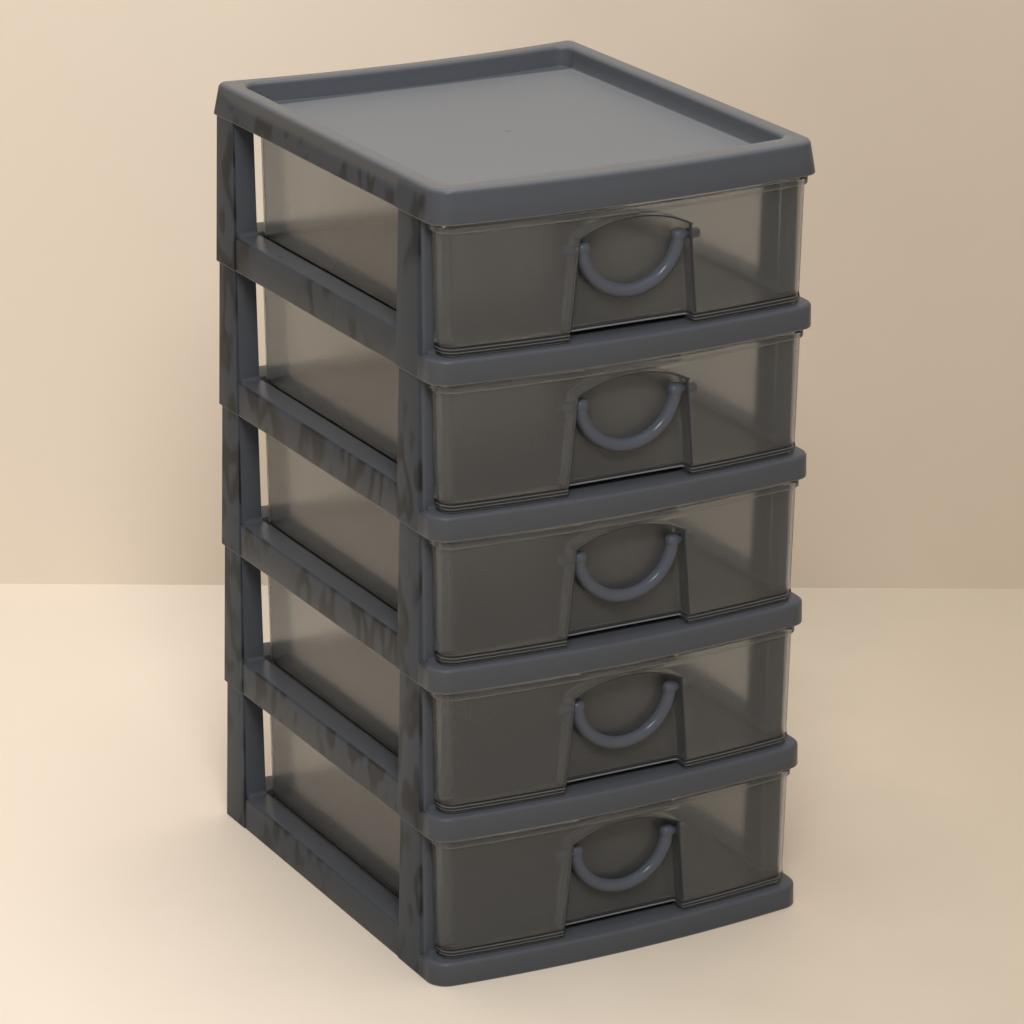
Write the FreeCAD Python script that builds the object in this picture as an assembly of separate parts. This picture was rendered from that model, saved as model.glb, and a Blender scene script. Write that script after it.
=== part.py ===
import FreeCAD
import Part
import math
import os

# A plastic drawer tower: five equal tiers stacked on each other's posts, a tray-topped lid,
# and in every tier a see-through drawer with a bail handle that hangs in a pocket in its front.
# Lengths are in millimetres. X runs across the front, -Y is the front, Z is up.
# The origin is under the middle of the tower, on the surface that it stands on.

Vector = FreeCAD.Vector

# Tower: its plan, shared by every tier and the lid
tower_width = 280.0
tower_depth = 335.0
tier_count = 5
tier_pitch = 102.6
front_bow = 9.0
rear_bow = 11.0
front_corner_radius = 14.0
rear_corner_radius = 6.0
wall = 2.2
overrun = 10.0
least_radius = 0.6
flatness = 0.00001
corner_chord_count = 3
hidden_chord_count = 2
hidden_bow_chord_count = 4
edge_chord_count = 1

# Tier: rails round three sides, a low fascia in front, a shelf between them and four posts
tier_draft = 1.5
rail_height = 23.5
rail_width = 18.5
rail_step = 0.7
rail_edge_radius = 2.0
shelf_height = 16.0
shelf_thickness = 2.2
fascia_edge_radius = 2.4
channel_corner_radius = 5.0

# Posts: hollow, open below, closed on top with a peg that enters the post above
post_width = 13.5
rear_post_width = 18.0
post_length = 34.0
post_setback = 29.0
post_edge_radius = 4.0
post_edge_chord_count = 2
post_root_radius = 3.0
post_root_chord_count = 1
peg_height = 5.0
peg_clearance = 0.3
peg_taper = 0.5

# Ribs under the shelf and under the lid's tray
rib_thickness = 1.8
rib_depth = 7.0
rib_column_count = 1
rib_row_count = 2

# Lid: a tray in a rounded rim, with a skirt over the top tier's posts
lid_height = 22.0
lid_draft = 3.0
tray_depth = 14.0
tray_draft = 2.0
tray_corner_radius = 10.0
rim_width = 12.5
rim_front_width = 18.0
rim_outer_radius = 2.4
rim_inner_radius = 3.0
socket_height = 7.0
lid_rib_depth = 3.0
gate_offset = 6.0
gate_dish_radius = 6.5
gate_dish_depth = 0.6
gate_nub_radius = 1.7
gate_nub_height = 0.5
gate_dish_slope = 2.5
gate_side_count = 12

# Drawer: a box that passes between the posts, with a wider front that closes against them
drawer_setback = 4.0
drawer_side_setback = 7.5
drawer_corner_radius = 10.0
drawer_wall = 2.0
drawer_draft = 1.2
drawer_lift = 0.3
drawer_side_gap = 0.8
drawer_rear_gap = 1.8
drawer_post_gap = 0.5
drawer_top_gap = 2.0
drawer_rear_radius = 9.0
drawer_floor_lift = 3.7
drawer_rim_height = 4.0
drawer_rim_overhang = 2.0
foot_step_count = 2
foot_step_height = 3.1
foot_step_inset = 0.9

# Pocket in the drawer's front, where the bail hangs: heights are above the drawer's foot, and its
# sides, which clear the bail's knobs, lean in as they rise to the spring of the arch
pocket_depth = 13.0
pocket_side_lean = 6.0
pocket_spring_height = 66.7
pocket_arch_rise = 9.5

# Bail: a bent bar with a knob, collar, pin and snap head at each end
bail_pivot_height = 58.8
bail_pivot_depth = 7.8
bail_half_span = 34.7
bail_drop = 31.8
bail_shoulder_radius = 27.0
bail_bar_radius = 4.4
bail_side_count = 8
bail_shoulder_chord_count = 2
bail_bottom_chord_count = 4
bail_knob_radius = 4.8
bail_knob_shares = ((-1.0, 0.5), (-0.5, 1.0), (0.5, 1.0))
bail_collar_radius = 3.1
bail_collar_length = 0.3
bail_collar_gap = 0.4
bail_pin_radius = 2.5
bail_pin_clearance = 0.05
bail_head_radius = 3.7
bail_head_tip_radius = 2.9
bail_head_gap = 0.7
bail_head_length = 6.5

# Derived places
half_width = tower_width / 2
front_y = -tower_depth / 2
rear_y = tower_depth / 2
front_bend = (half_width ** 2 + front_bow ** 2) / (2 * front_bow)
rear_bend = (half_width ** 2 + rear_bow ** 2) / (2 * rear_bow)
rear_corner_reach = math.sqrt((rear_bend + rear_corner_radius) ** 2 - (half_width - rear_corner_radius) ** 2)
rear_corner_share = rear_corner_reach / (rear_bend + rear_corner_radius)
rear_middle_y = rear_y - rear_bend * (1 - rear_corner_share)
post_front_y = front_y + post_setback
channel_half = half_width - rail_width
channel_rear_y = rear_middle_y - rail_width
shelf_underside = shelf_height - shelf_thickness
hollow_inset = wall + rail_step
tray_floor = lid_height - tray_depth

drawer_foot = shelf_height + drawer_lift
drawer_top = tier_pitch - drawer_top_gap
drawer_front_y = front_y + drawer_setback
drawer_front_half = half_width - drawer_side_setback
drawer_body_half = channel_half - drawer_side_gap
drawer_rear_y = channel_rear_y - drawer_rear_gap
drawer_jog_y = post_front_y - drawer_post_gap
drawer_underside = drawer_foot + drawer_floor_lift
drawer_floor = drawer_underside + drawer_wall
foot_top = drawer_foot + foot_step_count * foot_step_height
foot_inset = foot_step_count * foot_step_inset

pivot_y = drawer_front_y + bail_pivot_depth
pivot_z = drawer_foot + bail_pivot_height
pivot_side = bail_half_span + bail_knob_radius + bail_collar_length + bail_collar_gap
pocket_foot_half = pivot_side + pocket_side_lean * bail_pivot_height / pocket_spring_height
pocket_spring_half = pocket_foot_half - pocket_side_lean


# Outlines and solids.
# An outline is a list of sides in order, each (start, end, middle). A side without a middle is
# straight; with one it is the arc through the three points.

def end_arc(half, middle_y, bend, radius, side):
    """Corner centre and tangent point of one end's right half; side is -1 for the front, 1 for the rear.
    A bend bulges the front out and draws the rear in; with no bend the end is straight."""
    if not bend:
        corner = Vector(half - radius, middle_y - side * radius, 0)
        return corner, Vector(half - radius, middle_y, 0)
    centre = Vector(0, middle_y + bend, 0)
    reach = bend + side * radius
    corner = Vector(half - radius, centre.y - math.sqrt(reach ** 2 - (half - radius) ** 2), 0)
    direction = (corner - centre).normalize()
    return corner, centre + direction * bend


def arc_sides(centre, radius, start, end, chords):
    """One arc the short way round a centre, or a few chords of it; without a radius there is none."""
    if not radius:
        return []
    if not chords:
        middle = ((start + end) / 2 - centre).normalize() * radius + centre
        return [(start, end, middle)]
    first = math.atan2(start.y - centre.y, start.x - centre.x)
    turn = math.atan2(end.y - centre.y, end.x - centre.x) - first
    turn = (turn + math.pi) % (2 * math.pi) - math.pi
    points = [start]
    for index in range(1, chords):
        angle = first + turn * index / chords
        points.append(centre + Vector(math.cos(angle), math.sin(angle), 0) * radius)
    points.append(end)
    return [(points[index], points[index + 1], None) for index in range(chords)]


def bow_sides(middle_y, bend, start, end, chords):
    """The front or rear between its corners: an arc or chords of it, or one straight side."""
    if not bend:
        return [(start, end, None)]
    return arc_sides(Vector(0, middle_y + bend, 0), bend, start, end, chords)


def mirrored(point):
    return Vector(-point.x, point.y, point.z)


def plan(half, front, rear, height, chords):
    """Closed outline at a height. front and rear are (y at the middle, bend radius, corner radius), and
    chords are (chords of a corner, chords of a bow)."""
    front_middle, front_bend_radius, front_radius = front
    rear_middle, rear_bend_radius, rear_radius = rear
    in_corner, in_bow = chords
    front_corner, front_end = end_arc(half, front_middle, front_bend_radius, front_radius, -1)
    rear_corner, rear_end = end_arc(half, rear_middle, rear_bend_radius, rear_radius, 1)
    side_front = Vector(half, front_corner.y, 0)
    side_rear = Vector(half, rear_corner.y, 0)
    sides = bow_sides(front_middle, front_bend_radius, mirrored(front_end), front_end, in_bow)
    sides += arc_sides(front_corner, front_radius, front_end, side_front, in_corner)
    sides.append((side_front, side_rear, None))
    sides += arc_sides(rear_corner, rear_radius, side_rear, rear_end, in_corner)
    sides += bow_sides(rear_middle, rear_bend_radius, rear_end, mirrored(rear_end), in_bow)
    sides += arc_sides(mirrored(rear_corner), rear_radius, mirrored(rear_end), mirrored(side_rear), in_corner)
    sides.append((mirrored(side_rear), mirrored(side_front), None))
    sides += arc_sides(mirrored(front_corner), front_radius, mirrored(side_front), mirrored(front_end),
                       in_corner)
    return lifted(sides, height)


def lifted(sides, height):
    """The outline at a height."""
    rise = Vector(0, 0, height)
    placed = []
    for start, end, middle in sides:
        placed.append((start + rise, end + rise, middle + rise if middle else None))
    return placed


def side_edge(side):
    start, end, middle = side
    if middle:
        return Part.Arc(start, middle, end).toShape()
    return Part.LineSegment(start, end).toShape()


def plate(sides):
    """Flat face inside an outline."""
    return Part.Face(Part.Wire([side_edge(side) for side in sides]))


def polygon(points):
    """Outline of straight sides through points."""
    return [(points[index - 1], points[index], None) for index in range(len(points))]


def ring(centre, across, up, radius, count):
    """Many-sided outline of a round section, square to two directions."""
    points = []
    for index in range(count):
        angle = 2 * math.pi * (index + 1 / 2) / count
        points.append(centre + across * (radius * math.cos(angle)) + up * (radius * math.sin(angle)))
    return polygon(points)


def flat_faces(corners):
    """Four corners as one flat face, or as two triangles where they don't lie in a plane."""
    a, b, c, d = corners
    normal = (b - a).cross(c - a).normalize()
    if abs(normal.dot(d - a)) < flatness:
        return [plate(polygon(corners))]
    return [plate(polygon([a, b, c])), plate(polygon([a, c, d]))]


def loft(*sections):
    """Solid through outlines with the same sides: flat where both sides are straight, else ruled."""
    faces = [plate(sections[0]), plate(sections[-1])]
    for lower, upper in zip(sections[:-1], sections[1:]):
        for below, above in zip(lower, upper):
            if below[2] or above[2]:
                faces.append(Part.makeRuledSurface(side_edge(below), side_edge(above)))
            else:
                faces += flat_faces([below[0], below[1], above[1], above[0]])
    shell = Part.makeShell(faces)
    shell.sewShape()
    solid = Part.makeSolid(shell)
    if solid.Volume < 0:
        solid.reverse()
    return solid


def round_steps(radius):
    """Rise and inset of each step of a quarter round made of a few chords."""
    steps = []
    for index in range(edge_chord_count + 1):
        angle = math.pi / 2 * index / edge_chord_count
        steps.append((radius * math.sin(angle), radius - radius * math.cos(angle)))
    return steps


def soft_loft(outline, lean_at, low, high, radius):
    """Solid between two heights with a soft top edge."""
    sections = [outline(0, lean_at(low), low)]
    for rise, inset in round_steps(radius):
        height = high - radius + rise
        sections.append(outline(0, lean_at(height) + inset, height))
    return loft(*sections)


def span_box(low, high):
    """Box between two corners."""
    return Part.makeBox(high.x - low.x, high.y - low.y, high.z - low.z, low)


def both_sides(shape):
    """The shape and its mirror image across the middle of the tower."""
    return shape.fuse(shape.mirror(Vector(0, 0, 0), Vector(1, 0, 0)))


def rounded(radius):
    """A corner radius that an inset has reduced, kept above nothing."""
    return max(radius, least_radius)


def chords_at(inset):
    """Chords of a corner and of a bow. Outside, the bows are true arcs; inner faces are a few chords."""
    if inset > 0:
        return hidden_chord_count, hidden_bow_chord_count
    return corner_chord_count, 0


def tower_plan(inset, lean, height):
    """The tower's outline. An inset draws it in and tightens its corners; a lean only draws it in."""
    draw = inset + lean
    front = (front_y + draw, front_bend - inset, rounded(front_corner_radius - inset))
    rear = (rear_middle_y - draw, rear_bend + inset, rounded(rear_corner_radius - inset))
    return plan(half_width - draw, front, rear, height, chords_at(inset))


def tray_plan(inset, lean, height):
    """The lid's tray at its rim, drawn in in the same way."""
    front_reach = lid_draft + rim_front_width
    reach = lid_draft + rim_width
    draw = inset + lean
    radius = rounded(tray_corner_radius - inset)
    front = (front_y + front_reach + draw, front_bend - front_reach - inset, radius)
    rear = (rear_middle_y - reach - draw, rear_bend + reach + inset, radius)
    return plan(half_width - reach - draw, front, rear, height, chords_at(inset))


def drawer_front_plan(inset, lean, height):
    """The wide front part of a drawer, with its straight back ahead of the posts."""
    draw = inset + lean
    front = (drawer_front_y + draw, front_bend - drawer_setback - inset,
             rounded(drawer_corner_radius - inset))
    return plan(drawer_front_half - draw, front, (drawer_jog_y - draw, 0, 0), height, chords_at(inset))


def drawer_body_plan(inset, lean, height):
    """The long part of a drawer, from inside its front part to its rear."""
    draw = inset + lean
    start_y = drawer_jog_y - drawer_wall - drawer_draft - foot_inset
    rear = (drawer_rear_y - draw, 0, rounded(drawer_rear_radius - inset))
    return plan(drawer_body_half - draw, (start_y, 0, 0), rear, height, chords_at(inset))


# Tier

def lean(height):
    """How far a tier's faces have drawn in at a height."""
    return tier_draft * height / tier_pitch


def tier_block(inset, low, high):
    """Solid with the tier's outline between two heights, drawn in by an inset and the draft."""
    return loft(tower_plan(inset, lean(low), low), tower_plan(inset, lean(high), high))


def front_post_plan(inset, draw, height):
    """Right-hand front post: a rectangle with a rounded outer front corner."""
    inner_x = half_width - post_width + inset + draw
    outer_x = half_width - inset - draw
    near_y = post_front_y + inset + draw
    far_y = post_front_y + post_length - inset - draw
    radius = rounded(post_edge_radius - inset)
    points = [Vector(inner_x, far_y, height), Vector(inner_x, near_y, height)]
    for index in range(post_edge_chord_count + 1):
        angle = math.pi / 2 * index / post_edge_chord_count
        across = radius - radius * math.sin(angle)
        back = radius - radius * math.cos(angle)
        points.append(Vector(outer_x - across, near_y + back, height))
    points.append(Vector(outer_x, far_y, height))
    return polygon(points)


def rear_post_plan(inset, draw, height):
    """Bounds of the right-hand rear post, which the tower's outline closes at the corner."""
    inner_x = half_width - rear_post_width + inset + draw
    outer_x = half_width + overrun
    near_y = rear_y - post_length + inset + draw
    far_y = rear_y + overrun
    corners = [Vector(inner_x, near_y, height), Vector(outer_x, near_y, height),
               Vector(outer_x, far_y, height), Vector(inner_x, far_y, height)]
    return polygon(corners)


def post_block(front, inset, low, high, lean_at):
    """Solid of one right-hand post between two heights, drawn in by an inset and a draft."""
    outline = front_post_plan if front else rear_post_plan
    block = loft(outline(inset, lean_at(low), low), outline(inset, lean_at(high), high))
    if front:
        return block
    return block.common(loft(tower_plan(inset, lean_at(low), low), tower_plan(inset, lean_at(high), high)))


def post_peg(front):
    """Peg on a post's top, which enters the hollow post or socket above."""
    def taper(height):
        return peg_taper * height / peg_height

    peg = post_block(front, wall + peg_clearance, 0, peg_height, taper)
    peg.translate(Vector(0, 0, tier_pitch))
    return peg


def root_profile(low_x, face_y, side, seat):
    """End view of a fillet between a post's end face and its seat, as chords of a hollow quarter round."""
    inside_y = face_y - side * wall / 2
    points = [Vector(low_x, inside_y, seat - wall / 2)]
    points.append(Vector(low_x, face_y + side * post_root_radius, seat - wall / 2))
    for index in range(post_root_chord_count + 1):
        angle = math.pi / 2 * index / post_root_chord_count
        out = post_root_radius - post_root_radius * math.sin(angle)
        up = post_root_radius - post_root_radius * math.cos(angle)
        points.append(Vector(low_x, face_y + side * out, seat + up))
    points.append(Vector(low_x, inside_y, seat + post_root_radius))
    return plate(polygon(points))


def post_root(front):
    """Fillet where a post's end faces stand on the rail and, in front, on the shelf's ledge."""
    if front:
        width = post_width
        places = [(post_front_y + post_length, 1, rail_height), (post_front_y, -1, shelf_height)]
    else:
        width = rear_post_width
        places = [(rear_y - post_length, -1, rail_height)]
    roots = []
    for face_y, side, seat in places:
        profile = root_profile(half_width - width + tier_draft, face_y - side * lean(seat), side, seat)
        roots.append(profile.extrude(Vector(width, 0, 0)))
    edge_inset = rail_step + rail_edge_radius
    return roots[0].fuse(roots[1:]).common(tier_block(edge_inset, 0, tier_pitch))


def tier_rails():
    """Rails round three sides with a soft top edge; they stop at the front posts."""
    def rail_lean(height):
        return rail_step + lean(height)

    rails = soft_loft(tower_plan, rail_lean, 0, rail_height, rail_edge_radius)
    reach = half_width + overrun
    front = span_box(Vector(-reach, front_y - overrun, shelf_height),
                     Vector(reach, post_front_y + wall, rail_height + overrun))
    return rails.cut(front)


def tier_fascia():
    """Low front lip, level with the shelf, with a soft top edge and round corners."""
    fascia = soft_loft(tower_plan, lean, 0, shelf_height, fascia_edge_radius)
    reach = half_width + overrun
    front = span_box(Vector(-reach, front_y - overrun, 0),
                     Vector(reach, post_front_y + post_length / 2, shelf_height))
    return fascia.common(front)


def drawer_channel():
    """Space that the drawer's foot runs in, between the rails and above the shelf."""
    front = (front_y - overrun, 0, 0)
    rear = (channel_rear_y, 0, channel_corner_radius)
    chords = (corner_chord_count, 0)
    return loft(plan(channel_half, front, rear, shelf_height, chords),
                plan(channel_half, front, rear, tier_pitch, chords))


def tier_hollow():
    """Space under the shelf and up inside the rails."""
    under_shelf = tier_block(hollow_inset, 0, shelf_underside)
    in_rails = tier_block(hollow_inset, 0, rail_height - wall)
    kept = span_box(Vector(-channel_half - wall, front_y - overrun, 0),
                    Vector(channel_half + wall, channel_rear_y + wall, rail_height))
    reach = half_width + overrun
    front = span_box(Vector(-reach, front_y - overrun, 0),
                     Vector(reach, post_front_y + wall, rail_height))
    return under_shelf.fuse(in_rails.cut(kept).cut(front))


def rib_grid(top, depth, columns, rows):
    """Upright ribs that run front to rear and side to side, hanging from a plate."""
    low_z = top - depth
    high_z = top + wall / 2
    ribs = []
    for index in range(columns):
        x = 2 * channel_half * ((index + 1) / (columns + 1)) - channel_half
        ribs.append(span_box(Vector(x - rib_thickness / 2, front_y, low_z),
                             Vector(x + rib_thickness / 2, rear_y, high_z)))
    for index in range(rows):
        y = post_front_y + (channel_rear_y - post_front_y) * ((index + 1) / (rows + 1))
        ribs.append(span_box(Vector(-half_width, y - rib_thickness / 2, low_z),
                             Vector(half_width, y + rib_thickness / 2, high_z)))
    return ribs[0].fuse(ribs[1:]).common(tier_block(hollow_inset - wall / 2, low_z, high_z))


def make_tier():
    """One tier, standing on z = 0."""
    tier = tier_rails().fuse(tier_fascia()).cut(drawer_channel()).cut(tier_hollow())
    tier = tier.fuse(rib_grid(shelf_underside, rib_depth, rib_column_count, rib_row_count))
    for front in (True, False):
        post = post_block(front, 0, 0, tier_pitch, lean)
        outside = both_sides(post.fuse(post_root(front)))
        inside = both_sides(post_block(front, wall, 0, tier_pitch - wall, lean))
        tier = tier.fuse(outside).cut(inside).fuse(both_sides(post_peg(front)))
    return tier.removeSplitter()


# Lid

def lid_lean(height):
    """How far the lid's skirt has drawn in at a height."""
    return lid_draft * height / lid_height


def lid_block(inset, low, high):
    """Solid with the lid's outline between two heights, drawn in by an inset and the draft."""
    return loft(tower_plan(inset, lid_lean(low), low), tower_plan(inset, lid_lean(high), high))


def skirt_panels():
    """What is cut from the skirt's sides so that its corners stand proud like the posts."""
    low_y = post_front_y + post_length
    high_y = rear_y - post_length
    outer = half_width + overrun
    top = lid_height - rim_outer_radius
    side = span_box(Vector(channel_half, low_y, 0), Vector(outer, high_y, top))
    return both_sides(side.cut(lid_block(rail_step, 0, top)))


def lid_tray():
    """Space in the lid's top, which opens out in a soft edge at the rim."""
    sections = [tray_plan(0, tray_draft, tray_floor)]
    for rise, spread in round_steps(rim_inner_radius):
        sections.append(tray_plan(0, -spread, lid_height - rim_inner_radius + rise))
    return loft(*sections)


def lid_hollow():
    """Space under the tray's floor and up inside the rim."""
    roof = lid_height - wall - rim_outer_radius
    kept = loft(tray_plan(-wall, tray_draft, tray_floor - wall), tray_plan(-wall, 0, lid_height))
    return lid_block(hollow_inset, 0, roof).cut(kept)


def gate_mark():
    """Shallow dish in the tray's floor where the plastic was let in, and the nub left in it."""
    def round_outline(radius, height):
        centre = Vector(0, gate_offset, height)
        return ring(centre, Vector(1, 0, 0), Vector(0, 1, 0), radius, gate_side_count)

    bottom = tray_floor - gate_dish_depth
    foot = bottom - wall / 2
    dish = loft(round_outline(gate_dish_radius - gate_dish_slope, bottom),
                round_outline(gate_dish_radius, tray_floor))
    nub = loft(round_outline(gate_nub_radius, foot), round_outline(gate_nub_radius, bottom + gate_nub_height))
    return dish, nub


def make_lid():
    """The lid, standing on z = 0."""
    lid = soft_loft(tower_plan, lid_lean, 0, lid_height, rim_outer_radius)
    lid = lid.cut(lid_tray()).cut(skirt_panels()).cut(lid_hollow())
    lid = lid.fuse(rib_grid(tray_floor - wall, lid_rib_depth, rib_column_count, rib_row_count))
    for front in (True, False):
        tube = post_block(front, 0, 0, socket_height + wall, lid_lean)
        lid = lid.fuse(both_sides(tube)).cut(both_sides(post_block(front, wall, 0, socket_height, lid_lean)))
    dish, nub = gate_mark()
    return lid.cut(dish).fuse(nub).removeSplitter()


# Drawer

def drawer_lean(height):
    """How far a drawer's faces have drawn in below its top."""
    return drawer_draft * (drawer_top - height) / (drawer_top - drawer_foot)


def drawer_part(outline, inset, low, high):
    """Solid with one of the drawer's two outlines between two heights."""
    lower = outline(inset, drawer_lean(low), low)
    return loft(lower, outline(inset, drawer_lean(high), high))


def drawer_block(inset, low, high):
    """Solid with the drawer's outline, wide front and body, between two heights."""
    front = drawer_part(drawer_front_plan, inset, low, high)
    return front.fuse(drawer_part(drawer_body_plan, inset, low, high))


def drawer_steps():
    """Stepped foot of the front part, each step down a little further in, and the body's plain foot."""
    foot = drawer_part(drawer_body_plan, foot_inset, drawer_foot, foot_top)
    for index in range(foot_step_count):
        low = drawer_foot + index * foot_step_height
        inset = (foot_step_count - index) * foot_step_inset
        foot = foot.fuse(drawer_part(drawer_front_plan, inset, low, low + foot_step_height))
    return foot


def drawer_rim():
    """Band round the drawer's top edge that stands out past its walls."""
    low = drawer_top - drawer_rim_height
    rise = Vector(0, 0, drawer_rim_height)
    front = plate(drawer_front_plan(-drawer_rim_overhang, 0, low))
    body = plate(drawer_body_plan(-drawer_rim_overhang, 0, low))
    reach = half_width + overrun
    ahead = span_box(Vector(-reach, front_y - overrun, low), Vector(reach, drawer_jog_y, drawer_top))
    return front.extrude(rise).common(ahead).fuse(body.extrude(rise))


def pocket_half(height):
    """Half width of the pocket at a height above the drawer's foot, on its straight sides."""
    return pocket_foot_half - pocket_side_lean * height / pocket_spring_height


def pocket_prism(outset, low, near_y, far_y):
    """Pocket's front view, straight sides and an arched top, carried back between two places."""
    low_half = pocket_half(low - drawer_foot) + outset
    spring = drawer_foot + pocket_spring_height
    crown = spring + pocket_arch_rise + outset
    left_low = Vector(-low_half, near_y, low)
    right_low = Vector(low_half, near_y, low)
    right_spring = Vector(pocket_spring_half + outset, near_y, spring)
    left_spring = Vector(-pocket_spring_half - outset, near_y, spring)
    edges = [
        Part.LineSegment(left_low, right_low).toShape(),
        Part.LineSegment(right_low, right_spring).toShape(),
        Part.Arc(right_spring, Vector(0, near_y, crown), left_spring).toShape(),
        Part.LineSegment(left_spring, left_low).toShape(),
    ]
    return Part.Face(Part.Wire(edges)).extrude(Vector(0, far_y - near_y, 0))


def make_drawer():
    """One drawer, in place over a tier that stands on z = 0."""
    outside = drawer_block(0, foot_top, drawer_top).fuse(drawer_steps())
    inside = drawer_block(drawer_wall, drawer_floor, drawer_top)
    below = drawer_block(foot_inset + drawer_wall, drawer_foot, drawer_underside)
    back_y = drawer_front_y + pocket_depth
    pocket_walls = pocket_prism(drawer_wall, drawer_foot, drawer_front_y, back_y + drawer_wall)
    space = pocket_prism(0, drawer_foot - overrun, drawer_front_y - overrun, back_y)
    gap = pocket_prism(0, drawer_foot - overrun, back_y - drawer_wall, back_y + 2 * drawer_wall)
    reach = half_width + overrun
    gap_slab = span_box(Vector(-reach, drawer_front_y, 0), Vector(reach, 0, drawer_underside))
    hole_reach = pocket_foot_half + drawer_wall
    hole = Part.makeCylinder(bail_pin_radius + bail_pin_clearance, 2 * hole_reach,
                             Vector(-hole_reach, pivot_y, pivot_z), Vector(1, 0, 0))
    drawer = outside.fuse(drawer_rim()).cut(inside).cut(below)
    drawer = drawer.fuse(pocket_walls.common(outside))
    return drawer.cut(space).cut(gap.common(gap_slab)).cut(hole).removeSplitter()


# Bail

def bail_stations():
    """Points down the right half of the bar's centre line, each with the direction away from its arc's
    centre: a tight shoulder, then a wider bottom arc, tangent to each other and level in the middle."""
    a = bail_half_span
    b = bail_drop
    r = bail_shoulder_radius
    bottom_radius = (a ** 2 + b ** 2 - 2 * a * r) / (2 * (b - r))
    shoulder_centre = Vector(a - r, pivot_y, pivot_z)
    bottom_centre = Vector(0, pivot_y, pivot_z - b + bottom_radius)
    meeting = shoulder_centre - bottom_centre
    dip = -math.atan2(meeting.z, meeting.x)
    stations = []
    for index in range(bail_shoulder_chord_count):
        angle = dip * index / bail_shoulder_chord_count
        outward = Vector(math.cos(angle), 0, -math.sin(angle))
        stations.append((shoulder_centre + outward * r, outward))
    for index in range(bail_bottom_chord_count + 1):
        angle = dip + (math.pi / 2 - dip) * index / bail_bottom_chord_count
        outward = Vector(math.cos(angle), 0, -math.sin(angle))
        stations.append((bottom_centre + outward * bottom_radius, outward))
    return stations


def bail_bar():
    """Bent bar from knob to knob."""
    right = bail_stations()
    left = [(mirrored(point), mirrored(outward)) for point, outward in right[:-1]]
    sections = []
    for point, outward in left + right[::-1]:
        sections.append(ring(point, outward, Vector(0, 1, 0), bail_bar_radius, bail_side_count))
    return loft(*sections)


def turned(stations):
    """Round piece on the pivot's axis through (x, radius) stations."""
    sections = []
    for x, radius in stations:
        centre = Vector(x, pivot_y, pivot_z)
        sections.append(ring(centre, Vector(0, 1, 0), Vector(0, 0, 1), radius, bail_side_count))
    return loft(*sections)


def bail_end():
    """Right-hand knob, collar, pin and snap head on the pivot's axis."""
    knob = [(bail_half_span + along * bail_knob_radius, around * bail_knob_radius)
            for along, around in bail_knob_shares]
    knob.append((bail_half_span + bail_knob_radius, bail_collar_radius))
    knob.append((pivot_side - bail_collar_gap, bail_collar_radius))
    head_start = pivot_side + drawer_wall + bail_head_gap
    pin = [(bail_half_span, bail_pin_radius), (head_start + bail_head_gap, bail_pin_radius)]
    head = [(head_start, bail_head_radius), (head_start + bail_head_length, bail_head_tip_radius)]
    return turned(knob).fuse([turned(pin), turned(head)])


def make_bail():
    """The bail, hanging in the pocket of a drawer over a tier that stands on z = 0."""
    return bail_bar().fuse(both_sides(bail_end())).removeSplitter()


# The tower

def export(shape, name, level):
    """Place a piece at its tier's level and write it."""
    placed = shape.copy()
    placed.translate(Vector(0, 0, level * tier_pitch))
    placed.exportStep("parts/" + name + ".step")
    print(name, "valid", placed.isValid(), "solids", len(placed.Solids), "volume", round(placed.Volume))


os.makedirs("parts", exist_ok=True)
tier = make_tier()
drawer = make_drawer()
bail = make_bail()
for level in range(tier_count):
    number = str(level + 1)
    export(tier, "tier_" + number, level)
    export(drawer, "drawer_" + number, level)
    export(bail, "handle_" + number, level)
export(make_lid(), "lid", tier_count)
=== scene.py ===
# %% [markdown]
# A drawer tower for crafts and small parts: five open tiers of dark plastic stand on each other's
# posts under a lid with a tray, and each holds a smoky see-through drawer with a bail handle.
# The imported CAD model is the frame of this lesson. It says where every piece sits and how it moves.
# Every piece is modelled again here, as a finer surface in the same place, so that its round edges
# are round. Lengths are in millimetres until a mesh is made.

# %% Load the frame
import math

import bmesh
import bpy
import numpy as np
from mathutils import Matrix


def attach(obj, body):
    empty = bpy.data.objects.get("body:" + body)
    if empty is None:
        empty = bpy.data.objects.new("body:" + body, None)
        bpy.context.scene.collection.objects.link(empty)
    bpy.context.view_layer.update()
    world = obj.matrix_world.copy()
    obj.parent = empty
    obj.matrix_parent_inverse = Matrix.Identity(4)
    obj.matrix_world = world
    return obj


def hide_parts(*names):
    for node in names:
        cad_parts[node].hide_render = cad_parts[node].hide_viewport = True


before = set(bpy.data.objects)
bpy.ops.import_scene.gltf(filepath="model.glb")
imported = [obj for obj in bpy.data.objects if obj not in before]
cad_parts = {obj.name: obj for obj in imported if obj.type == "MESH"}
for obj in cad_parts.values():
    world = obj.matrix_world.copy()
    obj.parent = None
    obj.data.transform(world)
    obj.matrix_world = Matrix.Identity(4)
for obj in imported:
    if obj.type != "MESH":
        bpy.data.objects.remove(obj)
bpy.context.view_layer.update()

# %% [markdown]
# The tower's own sizes come first. A tier's outline is a rectangle whose front bows out and whose
# rear draws in, and the tiers lean in a little as they rise, because a moulding has to leave its
# mould. That lean gives the small step that shows at each seam.

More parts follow.
